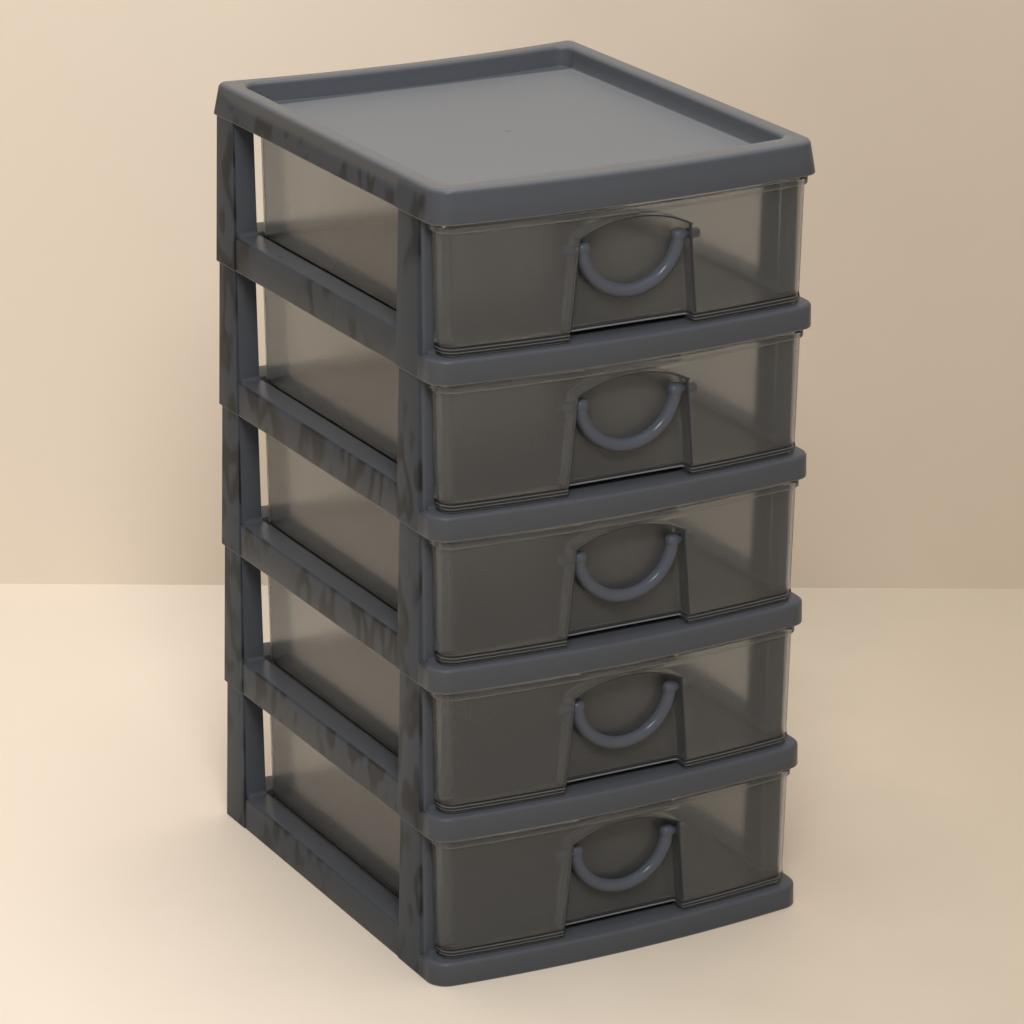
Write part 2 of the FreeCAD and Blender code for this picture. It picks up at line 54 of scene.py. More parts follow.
# %% Sizes of the tower, in millimetres
MM = 0.001
HALF, FRONT, REAR = 140.0, -167.5, 167.5
FRONT_BOW, REAR_BOW = 9.0, 11.0
FRONT_RADIUS, REAR_RADIUS = 14.0, 6.0
TIERS, PITCH, LEAN = 5, 102.6, 1.5
WALL, RAIL, RAIL_STEP, RAIL_WIDTH, SHELF = 2.2, 23.5, 0.7, 18.5, 16.0
POST_WIDTH, REAR_POST_WIDTH, POST_LENGTH, POST_FRONT = 13.5, 18.0, 34.0, -138.5
FRONT_BEND = (HALF ** 2 + FRONT_BOW ** 2) / (2 * FRONT_BOW)
REAR_BEND = (HALF ** 2 + REAR_BOW ** 2) / (2 * REAR_BOW)
REAR_MIDDLE = REAR - REAR_BEND - REAR_RADIUS + math.sqrt(
    (REAR_BEND + REAR_RADIUS) ** 2 - (HALF - REAR_RADIUS) ** 2)
CHANNEL = HALF - RAIL_WIDTH
CHANNEL_REAR = REAR_MIDDLE - RAIL_WIDTH
print("rear edge's middle at y =", round(REAR_MIDDLE, 2))
print("the drawers' channel ends at y =", round(CHANNEL_REAR, 2))

# %% [markdown]
# Most pieces here are one idea: a closed outline seen from above, repeated at many heights and
# insets, like the rings of an onion. A ring is an array of points, a piece is a stack of rings, and
# neighbouring rings are joined with four-sided faces. A fan of triangles closes each end. Loop cuts
# on a cube or a lathe would not follow the bowed front, and a boolean would leave ragged faces.

# %% Rings, and the closed surface that they span
def arc(centre, radius, start, end, count):
    """centre + radius * (cos a, sin a) for evenly spaced angles a, without the last one."""
    a = np.linspace(start, end, count, endpoint=False)
    return np.stack([centre[0] + radius * np.cos(a), centre[1] + radius * np.sin(a)], 1)


def run(start, end, count):
    """start + t * (end - start) for evenly spaced t, without the last one."""
    return np.linspace(start, end, count, endpoint=False)


def at_height(points, z):
    """Plan points (x, y) lifted to (x, y, z); z is one height or one per point."""
    return np.column_stack([points, np.broadcast_to(z, len(points))])


def shell(rings, start=None, end=None):
    """Points, quads and fans of a stack of rings: quads (k, i) (k, i+1) (k+1, i+1) (k+1, i), wrapped
    round, and a fan of triangles to a pole at each end, which is the ring's middle unless given. The
    sum of a . (b x c) over the triangles is six times the volume; if it is negative, all are turned."""
    rings = np.asarray(rings, float)
    levels, count = rings.shape[:2]
    poles = [rings[0].mean(0) if start is None else start, rings[-1].mean(0) if end is None else end]
    points = np.vstack([rings.reshape(-1, 3), np.asarray(poles, float)])
    i = np.arange(count)
    j = (i + 1) % count
    k = np.arange(levels - 1)[:, None] * count
    quads = np.stack([k + i, k + j, k + count + j, k + count + i], -1).reshape(-1, 4)
    last, pole = (levels - 1) * count, levels * count
    fans = np.vstack([np.stack([j, i, np.full(count, pole)], 1),
                      np.stack([last + i, last + j, np.full(count, pole + 1)], 1)])
    triangles = np.vstack([quads[:, [0, 1, 2]], quads[:, [0, 2, 3]], fans])
    a, b, c = (points[triangles[:, corner]] for corner in range(3))
    if np.einsum("ij,ij->", a, np.cross(b, c)) < 0:
        quads, fans = quads[:, ::-1], fans[:, ::-1]
    return points, quads, fans


def mirror(part):
    """The same shell with x turned to -x, its faces turned round so that they still point out."""
    points, quads, fans = part
    return points * np.array([-1.0, 1.0, 1.0]), quads[:, ::-1], fans[:, ::-1]


def lift(part, height):
    """The same shell, a height further up."""
    points, quads, fans = part
    return points + np.array([0.0, 0.0, height]), quads, fans


def piece(name, parts, body, node, material, crease=35):
    """One object made of closed shells, in place of a CAD node and riding on its body. Points that
    coincide are merged, and edges sharper than the crease angle keep their shade."""
    first = np.cumsum([0] + [len(points) for points, _, _ in parts])
    points = np.vstack([points for points, _, _ in parts]) * MM
    quads = np.vstack([quads + base for (_, quads, _), base in zip(parts, first)])
    fans = np.vstack([fans + base for (_, _, fans), base in zip(parts, first)])
    mesh = bpy.data.meshes.new(name)
    mesh.from_pydata(points.tolist(), [], quads.tolist() + fans.tolist())
    work = bmesh.new()
    work.from_mesh(mesh)
    bmesh.ops.remove_doubles(work, verts=work.verts, dist=0.002 * MM)
    bmesh.ops.dissolve_degenerate(work, edges=work.edges, dist=0.001 * MM)
    work.to_mesh(mesh)
    work.free()
    mesh.shade_smooth()
    mesh.set_sharp_from_angle(angle=math.radians(crease))
    mesh.materials.append(material)
    made = bpy.data.objects.new(name, mesh)
    bpy.context.scene.collection.objects.link(made)
    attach(made, body)
    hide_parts(node)
    print(name, "has", len(mesh.vertices), "points and", len(mesh.polygons), "faces")
    return made


# %% [markdown]
# The plan of the whole tower is one closed line, and every ring of a tier or the lid comes from it.
# Its points lie at the same places in every ring, which is what lets rings be joined point to point.

# %% The tower's outline
BOW_POINTS, CORNER_POINTS = 56, 10
SIDE_Y = np.array([-136.35, -136.25, -134.45, -134.35, -104.55, -104.45, -50.0, 0.0, 50.0, 100.0, 124.0])


def tower_outline(inset, lean=0.0, rear_radius=REAR_RADIUS, front_radius=FRONT_RADIUS):
    """Bowed rectangle seen from above, anticlockwise from the front left. An inset moves every arc
    to its parallel curve (convex radii shrink by it, the concave rear grows); a lean only shifts it.
    A corner's centre lies where its arc touches both the side and the bow: x = half - r, and
    y = bow centre -+ sqrt((bend -+ r)^2 - (half - r)^2)."""
    draw = inset + lean
    half = HALF - draw
    r, bend = max(front_radius - inset, 0.6), FRONT_BEND - inset
    centre = FRONT + draw + bend
    phi = math.asin((half - r) / (bend - r))
    corner = np.array([half - r, centre - math.sqrt((bend - r) ** 2 - (half - r) ** 2)])
    s, rear_bend = max(rear_radius - inset, 0.6), REAR_BEND + inset
    rear_centre = REAR_MIDDLE - draw + rear_bend
    psi = math.asin((half - s) / (rear_bend + s))
    rear_corner = np.array([half - s, rear_centre - math.sqrt((rear_bend + s) ** 2 - (half - s) ** 2)])
    share = (SIDE_Y - SIDE_Y[0] + 8.0) / (SIDE_Y[-1] - SIDE_Y[0] + 16.0)
    fits = corner[1] < SIDE_Y[0] and rear_corner[1] > SIDE_Y[-1]
    side_y = SIDE_Y if fits else corner[1] + (rear_corner[1] - corner[1]) * share
    side = np.column_stack([np.full(len(side_y) + 1, half), np.append(corner[1], side_y)])
    quarter = math.pi / 2
    turned = np.array([-1.0, 1.0])
    return np.vstack([
        arc((0, centre), bend, -quarter - phi, -quarter + phi, BOW_POINTS),
        arc(corner, r, -quarter + phi, 0, CORNER_POINTS),
        side,
        arc(rear_corner, s, 0, quarter + psi, CORNER_POINTS),
        arc((0, rear_centre), rear_bend, -quarter + psi, -quarter - psi, BOW_POINTS),
        arc(rear_corner * turned, s, quarter - psi, 2 * quarter, CORNER_POINTS),
        np.vstack([[-half, rear_corner[1]], side[:0:-1] * turned]),
        arc(corner * turned, r, 2 * quarter, 3 * quarter - phi, CORNER_POINTS),
    ])


BASE = tower_outline(0)
AHEAD = BASE[:, 1] < -136.3
FLUSH = BASE[:, 1] < -134.4
print("an outline has", len(BASE), "points")


def quarter_round(radius, steps=6):
    """Inset and rise of a quarter circle from its foot to its top: r (1 - cos a), r sin a."""
    a = np.linspace(0, math.pi / 2, steps + 1)
    return list(zip(radius - radius * np.cos(a), radius * np.sin(a)))


# %% [markdown]
# A tier is one moulding. Its skirt goes all the way round: a low lip in front, level with the
# shelf, and a taller rail at the sides and the rear. One stack of rings makes it: from the middle
# of the shelf out to the rail, up and over it, down the outside, and back up inside the hollow.
# The lip and the rail differ only in height, so each point of a ring has its own height.

# %% A tier's skirt and shelf
def tier_lean(z):
    """Every face of a tier leans in by 1.5 mm over its height."""
    return LEAN * z / PITCH


def skirt_ring(lip_inset, z_lip, rail_inset, z_rail, flush=AHEAD):
    """The outline at two insets: lip points at one height, rail points at another and a step
    further in. Low on the skirt the flush part reaches to where the post's round corner ends."""
    lip = at_height(tower_outline(lip_inset, tier_lean(z_lip)), z_lip)
    rail = at_height(tower_outline(rail_inset + RAIL_STEP, tier_lean(z_rail)), z_rail)
    corner = at_height(tower_outline(rail_inset, tier_lean(z_rail)), z_rail)
    return np.where(AHEAD[:, None], lip, np.where(flush[:, None], corner, rail))


def channel_ring(grow, z_ahead, z_rail):
    """The drawer's channel: straight sides and a straight rear with round corners, and in front a
    line inside the lip. grow moves it out."""
    n = BOW_POINTS, CORNER_POINTS, len(SIDE_Y)
    lip = tower_outline(22.0 - grow)
    half, back, r = CHANNEL + grow, CHANNEL_REAR + grow, 5.0 + grow
    turned = np.array([-1.0, 1.0])
    side = np.column_stack([np.full(n[2] + 1, half), np.append(lip[n[0] + n[1], 1], SIDE_Y)])
    corner = np.array([half - r, back - r])
    points = np.vstack([
        lip[:n[0] + n[1]], side,
        arc(corner, r, 0, math.pi / 2, n[1]),
        run((half - r, back), (r - half, back), n[0]),
        arc(corner * turned, r, math.pi / 2, math.pi, n[1]),
        np.vstack([[-half, corner[1]], side[:0:-1] * turned]),
        lip[-n[1]:],
    ])
    return at_height(points, np.where(AHEAD, z_ahead, z_rail))


def over_edge(radius, steps=8):
    """Inset and drop of a round top edge from its inner side outwards: r (1 - sin a), r (1 - cos a)."""
    a = np.linspace(0, math.pi / 2, steps)
    return zip(radius * (1 - np.sin(a)), radius * (1 - np.cos(a)))


def tier_skirt():
    """Closed surface through the rings named above, for a tier that stands on z = 0."""
    floor = channel_ring(-1.2, SHELF, SHELF)
    middle = np.array([0.0, 0.0, SHELF])
    rings = [middle + (floor - middle) * share for share in (0.25, 0.5, 0.75, 0.93)]
    rings += [floor, channel_ring(-0.5, SHELF, SHELF + 0.25), channel_ring(0, SHELF, SHELF + 1.2)]
    rings += [channel_ring(inset, SHELF, RAIL - 0.8 + rise) for inset, rise in quarter_round(0.8, 3)]
    for (lip_in, lip_drop), (rail_in, rail_drop) in zip(over_edge(2.4), over_edge(2.0)):
        rings.append(skirt_ring(lip_in, SHELF - lip_drop, rail_in, RAIL - rail_drop))
    rings += [skirt_ring(0, 13, 0, 16.1)]
    rings += [skirt_ring(inset, z_lip, inset, z_rail, FLUSH) for inset, z_lip, z_rail in (
        (0, 12.8, 15.9), (0, 0.4, 0.4), (0.15, 0.12, 0.12), (0.45, 0, 0))]
    rings += [skirt_ring(WALL, 0, WALL, 0), skirt_ring(WALL, SHELF - WALL, WALL, RAIL - WALL)]
    rings += [channel_ring(WALL, SHELF - WALL, RAIL - WALL)]
    rings += [channel_ring(WALL - 0.1, SHELF - WALL, SHELF - WALL)]
    return shell(rings, middle, (0, 0, SHELF - WALL))


# %% [markdown]
# The posts are hollow columns, open below and closed on top, where a peg enters the post above.
# The front pair has a soft outer edge. The rear pair fills the tower's corner, so its outline
# borrows the tower's own corner arc and a bit of the concave rear.

# %% Posts and ribs
def rounded_rectangle(low, high, radii, steps=6):
    """Anticlockwise from the low corner: four quarter arcs, each about its own corner's centre."""
    (x0, y0), (x1, y1) = low, high
    corners = [(x0, y0, 1, 1, 2), (x1, y0, -1, 1, 3), (x1, y1, -1, -1, 0), (x0, y1, 1, -1, 1)]
    points = []
    for (x, y, sx, sy, turn), r in zip(corners, radii):
        a = np.linspace(0, math.pi / 2, steps + 1) + turn * math.pi / 2
        points.append(np.stack([x + sx * r + r * np.cos(a), y + sy * r + r * np.sin(a)], 1))
    return np.vstack(points)


def front_post_plan(inset, lean):
    draw = inset + lean
    low = (HALF - POST_WIDTH + draw, POST_FRONT + draw)
    high = (HALF - draw, POST_FRONT + POST_LENGTH - draw)
    return rounded_rectangle(low, high, (0.7, max(4.0 - inset, 0.7), 0.7, 0.7))


def rear_post_plan(inset, lean):
    """Two straight sides, the tower's corner arc, and the concave rear as far as the inner side."""
    draw = inset + lean
    half, inner, near = HALF - draw, HALF - REAR_POST_WIDTH + draw, REAR - POST_LENGTH + draw
    s, bend = max(REAR_RADIUS - inset, 0.6), REAR_BEND + inset
    centre = REAR_MIDDLE - draw + bend
    psi = math.asin((half - s) / (bend + s))
    corner = (half - s, centre - math.sqrt((bend + s) ** 2 - (half - s) ** 2))
    stop = math.asin(inner / bend)
    near_side = rounded_rectangle((inner, near), (half, near + 20), (0.7, 0.7, 0.7, 0.7))[:14]
    return np.vstack([
        near_side,
        arc(corner, s, 0, math.pi / 2 + psi, 12),
        arc((0, centre), bend, psi - math.pi / 2, stop - math.pi / 2, 5),
        [[inner, centre - math.sqrt(bend ** 2 - inner ** 2)]],
    ])


def post(plan):
    """Tube with a closed top and a peg: inside from its blind end down to the rim, then up outside."""
    rings = [at_height(plan(WALL, tier_lean(z)), z) for z in (PITCH - WALL, 60.0, 0.4)]
    rings += [at_height(plan(0.4, 0), 0.0), at_height(plan(0, 0), 0.4)]
    rings += [at_height(plan(0, tier_lean(z)), z) for z in (SHELF, 24.0, 40.0, 60.0, 80.0, PITCH - 0.3)]
    rings += [at_height(plan(inset, LEAN + lean), PITCH + rise) for inset, lean, rise in (
        (0.3, 0, 0), (WALL + 0.3, 0, 0), (WALL + 0.3, 0.3, 4.5), (WALL + 0.8, 0.3, 5.0))]
    return shell(rings)


def foot_fillet(x_low, x_high, y, side, z, radius=3.0):
    """Concave quarter round that carries a post's end face into what it stands on: the corner,
    then y = r - r sin a, z = r - r cos a for a from 0 to 90 degrees, carried along x."""
    a = np.linspace(0, math.pi / 2, 9)
    across = np.concatenate([[-0.5, radius, radius], (radius - radius * np.sin(a))[1:-1], [0.0, -0.5]])
    up = np.concatenate([[-0.5, -0.5, 0.0], (radius - radius * np.cos(a))[1:-1], [radius, radius]])
    rings = [np.column_stack([np.full(len(a) + 3, x), y + side * across, z + up]) for x in (x_low, x_high)]
    return shell(rings)


def rib(start, end, low, high, thickness=1.8):
    """Thin upright plate between two plan points, a little thinner at its free lower edge."""
    start, end = np.asarray(start, float), np.asarray(end, float)
    along = (end - start) / np.linalg.norm(end - start)
    side = np.array([-along[1], along[0]])
    rings = []
    for z, share in ((high, 0.5), (low + 0.4, 0.42), (low, 0.3)):
        width = side * thickness * share
        rings.append(at_height(np.array([start - width, end - width, end + width, start + width]), z))
    return shell(rings)


def rib_grid(high, depth, columns=1, rows=2):
    """Ribs that run front to rear and side to side under a plate, evenly spaced."""
    ribs = []
    for index in range(columns):
        x = 2 * CHANNEL * (index + 1) / (columns + 1) - CHANNEL
        rear = REAR_MIDDLE - 2.5 + x * x / (2 * REAR_BEND)
        ribs.append(rib((x, FRONT + 4.5), (x, rear), high - depth, high + 0.5))
    for index in range(rows):
        y = POST_FRONT + (CHANNEL_REAR - POST_FRONT) * (index + 1) / (rows + 1)
        ribs.append(rib((-HALF + 3.5, y), (HALF - 3.5, y), high - depth, high + 0.5))
    return ribs


def tier_parts():
    """Everything of one tier that stands on z = 0."""
    parts = [tier_skirt()] + rib_grid(SHELF - WALL, 7.0)
    half = [post(front_post_plan), post(rear_post_plan)]
    lean = tier_lean(RAIL)
    inner, outer = HALF - POST_WIDTH + lean, HALF - RAIL_STEP - 2.2 - lean
    half.append(foot_fillet(inner, outer, POST_FRONT + POST_LENGTH - lean, 1, RAIL))
    half.append(foot_fillet(HALF - REAR_POST_WIDTH + lean, outer, REAR - POST_LENGTH + lean, -1, RAIL))
    half.append(foot_fillet(inner, HALF - 4.5, POST_FRONT + lean, -1, SHELF))
    return parts + half + [mirror(part) for part in half]


# %% [markdown]
# The lid turns the same idea over: its rings start at the little gate mark in the tray's floor, go
# out across the floor, up the tray's wall, over the rounded rim, down the flared skirt and back
# under the floor. Near the mark the rings are circles, and further out they take the tray's shape.

# %% The lid
LID, LID_FLARE, TRAY, TRAY_DRAFT = 22.0, 3.0, 14.0, 2.0
RIM, RIM_FRONT = 12.5, 18.0
GATE = np.array([0.0, 6.0])


def lid_lean(z):
    return LID_FLARE * z / LID


def lid_ring(inset, z, panel=1.0):
    """The outline at an inset and height; the side panels stand in by the rail's step times panel."""
    proud = at_height(tower_outline(inset, lid_lean(z)), z)
    panels = at_height(tower_outline(inset + RAIL_STEP * panel, lid_lean(z)), z)
    on_side = (BASE[:, 1] > -104.5) & (BASE[:, 1] < 132.0) & (np.abs(BASE[:, 0]) > HALF - 0.5)
    return np.where(on_side[:, None], panels, proud)


def tray_ring(spread, z):
    """The tray's edge, moved out by spread: the tower's outline at the rim's width, shifted back in
    front because the front rim is wider."""
    inset = LID_FLARE + RIM - spread
    points = tower_outline(inset, 0.0, RIM + LID_FLARE + 10.0, RIM + LID_FLARE + 10.0)
    back = np.clip((-100.0 - points[:, 1]) / 30.0, 0, 1) * (RIM_FRONT - RIM)
    points[:, 1] += back
    return at_height(points, z)


def lid_shell():
    floor = LID - TRAY
    edge = tray_ring(-TRAY_DRAFT - 0.8, floor)[:, :2]
    away = edge - GATE
    angle = np.arctan2(away[:, 1], away[:, 0])
    circle = np.column_stack([np.cos(angle), np.sin(angle)])
    rings = [at_height(GATE + circle * r, z) for r, z in (
        (1.2, floor - 0.1), (1.6, floor - 0.2), (1.75, floor - 0.6), (3.6, floor - 0.6), (4.4, floor - 0.5),
        (5.4, floor - 0.18), (6.4, floor), (12.0, floor), (30.0, floor))]
    rings += [at_height(GATE + away * share, floor) for share in (0.55, 0.8, 0.95, 1.0)]
    rings += [tray_ring(-TRAY_DRAFT - 0.8 + rise, floor + inset) for inset, rise in quarter_round(0.8, 4)[1:]]
    rings += [tray_ring(-TRAY_DRAFT * 0.5, floor + 6.0)]
    rings += [tray_ring(inset, LID - 3.5 + rise) for inset, rise in quarter_round(3.5, 7)]
    a = np.linspace(0, math.pi / 2, 9)
    rings += [lid_ring(3.0 - 3.0 * math.sin(t), LID - 3.0 + 3.0 * math.cos(t), 0.0) for t in a]
    rings += [lid_ring(inset, z) for inset, z in ((0, LID - 4.2), (0, 12.0), (0, 0.6), (0.18, 0.18), (0.6, 0))]
    rings += [lid_ring(WALL + 0.7, 0, 0), lid_ring(WALL + 0.7, LID - WALL - 3.0, 0)]
    rings += [tray_ring(WALL, LID - WALL - 3.0), tray_ring(WALL - TRAY_DRAFT, floor - WALL)]
    return shell(rings, (*GATE, floor - 0.1), (0, 0, floor - WALL))


def socket_tube(plan):
    """Short tube under the lid that takes the top tier's peg."""
    rings = [at_height(plan(WALL, 0), 9.0), at_height(plan(WALL, 0), 0.2), at_height(plan(0.75, 0), 0.2),
             at_height(plan(0.75, 1.0), 11.0)]
    return shell(rings)


def lid_parts():
    half = [socket_tube(front_post_plan), socket_tube(rear_post_plan)]
    return [lid_shell()] + half + [mirror(part) for part in half] + rib_grid(LID - TRAY - WALL, 3.0)


# %% [markdown]
# A drawer is a thin-walled box, wider ahead of the posts than between them, with an arched pocket
# pressed into its front. Seen from above, the pocket is a notch in the outline, so the drawer is
# again a stack of rings: the notch keeps its depth and narrows with height, until the arch closes.
# The rings run up inside, over the band at the top, down outside, and in under the floor, which
# gives the see-through plastic a real thickness.

# %% Half of a drawer's outline
FOOT, TOP = SHELF + 0.3, PITCH - 2.0
DRAWER_FRONT, DRAWER_HALF, JOG = FRONT + 4.0, HALF - 7.5, POST_FRONT - 0.5
BODY_HALF, BODY_REAR = CHANNEL - 0.8, CHANNEL_REAR - 1.8
DRAWER_WALL, DRAFT = 2.0, 1.2
POCKET_DEPTH, POCKET_FOOT, POCKET_SPRING, SPRING, ARCH = 13.0, 45.49, 39.49, FOOT + 66.7, 9.5


def pocket_half_width(z, grow):
    """Straight sides that close in from the foot to the spring of the arch, then a circle's arc:
    the chord's half width c and rise h give R = (c^2 + h^2) / 2h, and w = sqrt(R^2 - (z - centre)^2)."""
    if z <= SPRING:
        return POCKET_FOOT + (POCKET_SPRING - POCKET_FOOT) * (z - FOOT) / (SPRING - FOOT) + grow
    c, h = POCKET_SPRING + grow, ARCH + grow
    radius = (c * c + h * h) / (2 * h)
    return math.sqrt(max(radius ** 2 - (z - (SPRING + h - radius)) ** 2, 0.0))


NOTCH_POINTS = 22


def notch_outline(width, back, face, inset):
    """The pocket seen from above, from its middle to the face: along the back, round the inner
    corner, forward along the side and, outside, round the soft edge. face(x) is the front's y."""
    inner, soft = min(2.0, width * 0.3), min(1.0, width * 0.3)
    a = np.linspace(0, math.pi / 2, 6)
    along = np.column_stack([np.linspace(0, width - inner, 9)[:-1], np.full(8, back)])
    corner = np.stack([width - inner + inner * np.sin(a), back - inner + inner * np.cos(a)], 1)
    if inset:
        side = np.column_stack([np.full(8, width), np.linspace(back - inner, float(face(width)), 9)[1:]])
        return np.vstack([along, corner, side]), width
    edge = float(face(width + soft)) + soft
    side = np.column_stack([np.full(3, width), np.linspace(back - inner, edge, 4)[1:]])
    turn = np.stack([width + soft - soft * np.cos(a[1:]), edge - soft * np.sin(a[1:])], 1)
    return np.vstack([along, corner, side, turn]), width + soft


def drawer_ring(z, inset=0.0, depth=POCKET_DEPTH, out=0.0):
    """Right half from the middle of the pocket to the middle of the rear, then its mirror image.
    inset draws the walls in and gives the pocket its own wall, out pushes the outer line out, and
    depth 0 leaves no pocket."""
    lean = DRAFT * (TOP - z) / (TOP - FOOT)
    draw = inset + lean - out
    grow = DRAWER_WALL if inset else 0.0
    bend = FRONT_BEND - 4.0 - inset + out
    half, body, rear = DRAWER_HALF - draw, BODY_HALF - draw, BODY_REAR - draw
    jog = JOG - inset - lean + min(out, 0.0)
    r = 10.0 - inset + out
    centre = DRAWER_FRONT + draw + bend
    phi = math.asin((half - r) / (bend - r))
    corner = np.array([half - r, centre - math.sqrt((bend - r) ** 2 - (half - r) ** 2)])
    front_end = (half - r) + r * math.sin(phi)

    def face(x):
        return centre - np.sqrt(bend ** 2 - np.asarray(x) ** 2)

    if depth:
        width = pocket_half_width(z, grow)
        notch, start = notch_outline(width, DRAWER_FRONT + depth + grow, face, inset)
    else:
        start = 40.0
        x = np.linspace(0, start, NOTCH_POINTS)
        notch = np.column_stack([x, face(x)])
    x = start + (front_end - start) * np.linspace(0, 1, 25)[1:-1]
    turn_radius = 9.0 - inset + out
    turn = np.array([body - turn_radius, rear - turn_radius])
    right = np.vstack([
        notch,
        np.column_stack([x, face(x)]),
        arc(corner, r, phi - math.pi / 2, 0, 10),
        np.column_stack([np.full(3, half), np.linspace(corner[1], jog - 0.6, 3)]),
        [[half - 0.18, jog - 0.18], [half - 0.6, jog], [body + 1.0, jog]],
        [[body + 0.3, jog + 0.3], [body, jog + 1.0], [body, jog + 5.0]],
        np.column_stack([np.full(6, body), np.linspace(jog + 12.0, turn[1] - 4.0, 6)]),
        arc(turn, turn_radius, 0, math.pi / 2, 9),
        np.column_stack([np.linspace(turn[0], 0, 10), np.full(10, rear)]),
    ])
    left = right[-2:0:-1] * np.array([-1.0, 1.0])
    return at_height(np.vstack([right, left]), z)


# %% [markdown]
# The drawer's skins are built from that half outline. Two skins and the floor between them close to
# one solid wall, 2 mm thick, which refracts light as the real one does.

# %% A whole drawer
def drawer_walls(low, inset):
    """Rings of one skin of the walls. They are even up to the arch's spring and then follow its
    circle, z = centre + R cos a for even steps of a, up to the crown. There the notch closes to a
    line and then to a point on the front, and a plain ring follows."""
    grow = DRAWER_WALL if inset else 0.0
    c, h = POCKET_SPRING + grow, ARCH + grow
    radius = (c * c + h * h) / (2 * h)
    a = np.linspace(math.asin(c / radius), 0.02, 16)
    crown = SPRING + h
    levels = np.concatenate([np.linspace(low, SPRING, 8)[:-1], crown - radius + radius * np.cos(a)])
    rings = [drawer_ring(z, inset) for z in levels]
    shut = drawer_ring(crown, inset, depth=0.0)
    point = shut.copy()
    closed = rings[-1][:NOTCH_POINTS].copy()
    closed[:, 0], closed[:, 2] = 0.0, crown
    point[:NOTCH_POINTS] = (0.0, shut[0, 1], crown)
    point[1 - NOTCH_POINTS:] = (0.0, shut[0, 1], crown)
    shut[:NOTCH_POINTS] = closed
    shut[1 - NOTCH_POINTS:] = closed[:0:-1]
    return rings + [shut, point, drawer_ring(crown + 0.8, inset, depth=0.0)]


FOOT_PROFILE = [(7.5, -0.2), (7.4, -1.2), (4.9, -1.2), (4.7, -0.7), (3.7, -0.6), (3.5, -1.35), (3.0, -1.35),
                (2.8, -0.9), (1.7, -0.8), (1.5, -1.7)]


def spread(ring, centre, shares, back, side):
    """Rings between a centre and a ring, kept behind the pocket and off the walls on the way."""
    flat = ring.copy()
    flat[:, 1] = np.maximum(flat[:, 1], back)
    flat[:, 0] = np.clip(flat[:, 0], -side, side)
    return [centre + (flat - centre) * share for share in shares]


def drawer_shell():
    """Inside from the floor up, over the band, outside down to the ribbed foot, and in under the
    floor. Below the floor the pocket's back is open, so the notch is deeper there."""
    under = FOOT + 3.7
    floor = under + DRAWER_WALL
    tunnel = POCKET_DEPTH + 30.0
    edge = drawer_ring(floor, DRAWER_WALL + 1.0)
    middle, low = np.array([0.0, -5.0, floor]), np.array([0.0, -5.0, under])
    rings = spread(edge, middle, (0.3, 0.6, 0.9, 1.0), DRAWER_FRONT + POCKET_DEPTH + 6.0, BODY_HALF - 5.0)
    rings += [edge, drawer_ring(floor + 0.3, DRAWER_WALL + 0.3)] + drawer_walls(floor + 1.5, DRAWER_WALL)
    rings += [drawer_ring(TOP - 0.4, DRAWER_WALL, 0.0), drawer_ring(TOP, DRAWER_WALL - 0.4, 0.0)]
    rings += [drawer_ring(TOP - drop, 0.0, 0.0, out) for drop, out in (
        (0.0, 1.7), (0.3, 2.0), (3.8, 2.0), (4.0, 1.8), (4.0, 0.2))]
    rings += drawer_walls(FOOT + 7.8, 0.0)[::-1]
    rings += [drawer_ring(FOOT + up, 0.0, out=out) for up, out in FOOT_PROFILE if FOOT + up > under]
    lip = [(up, out) for up, out in FOOT_PROFILE if FOOT + up <= under]
    rings += [drawer_ring(under, 0.0, out=-0.6), drawer_ring(under, 0.0, tunnel, -0.6)]
    rings += [drawer_ring(FOOT + up, 0.0, tunnel, out) for up, out in lip]
    rings += [drawer_ring(FOOT + 0.2, 0.0, tunnel, -1.75), drawer_ring(FOOT, 0.0, tunnel, -1.95)]
    rings += [drawer_ring(FOOT, DRAWER_WALL, tunnel, -1.8), drawer_ring(under, DRAWER_WALL, tunnel, -1.8)]
    rings += spread(rings[-1], low, (1.0, 0.7, 0.3), DRAWER_FRONT + tunnel + 8.0, BODY_HALF - 8.0)
    return shell(rings, middle, low)


# %% [markdown]
# The bail is a round bar bent to a half hoop: a circle carried along an arc. At each end it runs
# into a knob, and a pin with a snap head goes through the pocket's wall. Those are turned forms:
# a profile of radii along the pin's axis, swept round it.

# %% The bail handle
PIVOT_Y, PIVOT_Z = DRAWER_FRONT + 7.8, FOOT + 58.8
SPAN, DROP, SHOULDER, BAR, KNOB = 34.7, 31.8, 27.0, 4.4, 4.8


def hoop(count=72):
    """Centre line: angle a runs round two shoulder arcs of 27 mm and one wider bottom arc, all
    tangent. Returns points and the unit vectors that point away from each arc's centre."""
    bottom = (SPAN ** 2 + DROP ** 2 - 2 * SPAN * SHOULDER) / (2 * (DROP - SHOULDER))
    rise = bottom - DROP
    dip = math.atan2(rise, SPAN - SHOULDER)
    a = np.linspace(0, math.pi, count)
    centre_x = np.where(a < dip, SPAN - SHOULDER, np.where(a > math.pi - dip, SHOULDER - SPAN, 0.0))
    in_bottom = (a >= dip) & (a <= math.pi - dip)
    radius = np.where(in_bottom, bottom, SHOULDER)
    out = np.stack([np.cos(a), np.zeros(count), -np.sin(a)], 1)
    points = np.stack([centre_x + radius * out[:, 0], np.full(count, PIVOT_Y),
                       PIVOT_Z + np.where(in_bottom, rise, 0.0) + radius * out[:, 2]], 1)
    return points, out


def bar_shell(sides=28):
    """centre line + radius (cos b outward + sin b across), for b once round."""
    points, out = hoop()
    b = np.linspace(0, 2 * math.pi, sides, endpoint=False)[None, :, None]
    across = np.array([0.0, 1.0, 0.0])
    rings = points[:, None, :] + BAR * (np.cos(b) * out[:, None, :] + np.sin(b) * across)
    return shell(rings)


